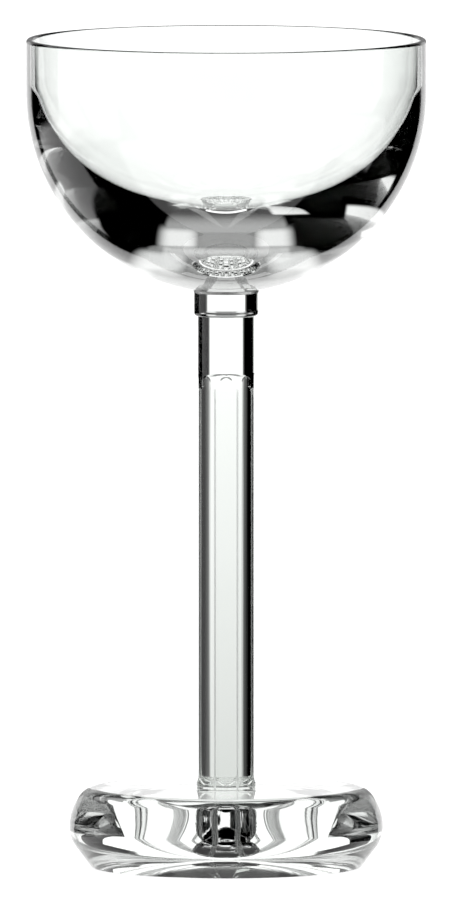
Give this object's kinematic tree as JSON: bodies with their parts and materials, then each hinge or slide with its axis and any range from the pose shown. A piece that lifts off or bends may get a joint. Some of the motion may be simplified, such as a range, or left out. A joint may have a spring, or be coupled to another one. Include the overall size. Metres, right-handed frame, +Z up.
{
  "type": "sherbet glass",
  "caption": "Tall stemmed sherbet glass of clear crystal: thick-bottomed round bowl, small collar, stem cut with long flats and a heavy round-edged foot hollowed underneath.",
  "frame": {"origin": "centre of the ring that the foot stands on, at table height", "axes": "+Z up along the axis of the glass; -Y is the front, which one flat of the stem faces"},
  "size_m": [0.082, 0.082, 0.1701],
  "materials": {
    "crystal": "polished clear"
  },
  "bodies": {
    "root": {"foot": "crystal", "stem": "crystal", "collar": "crystal", "bowl": "crystal"}
  },
  "joints": []
}
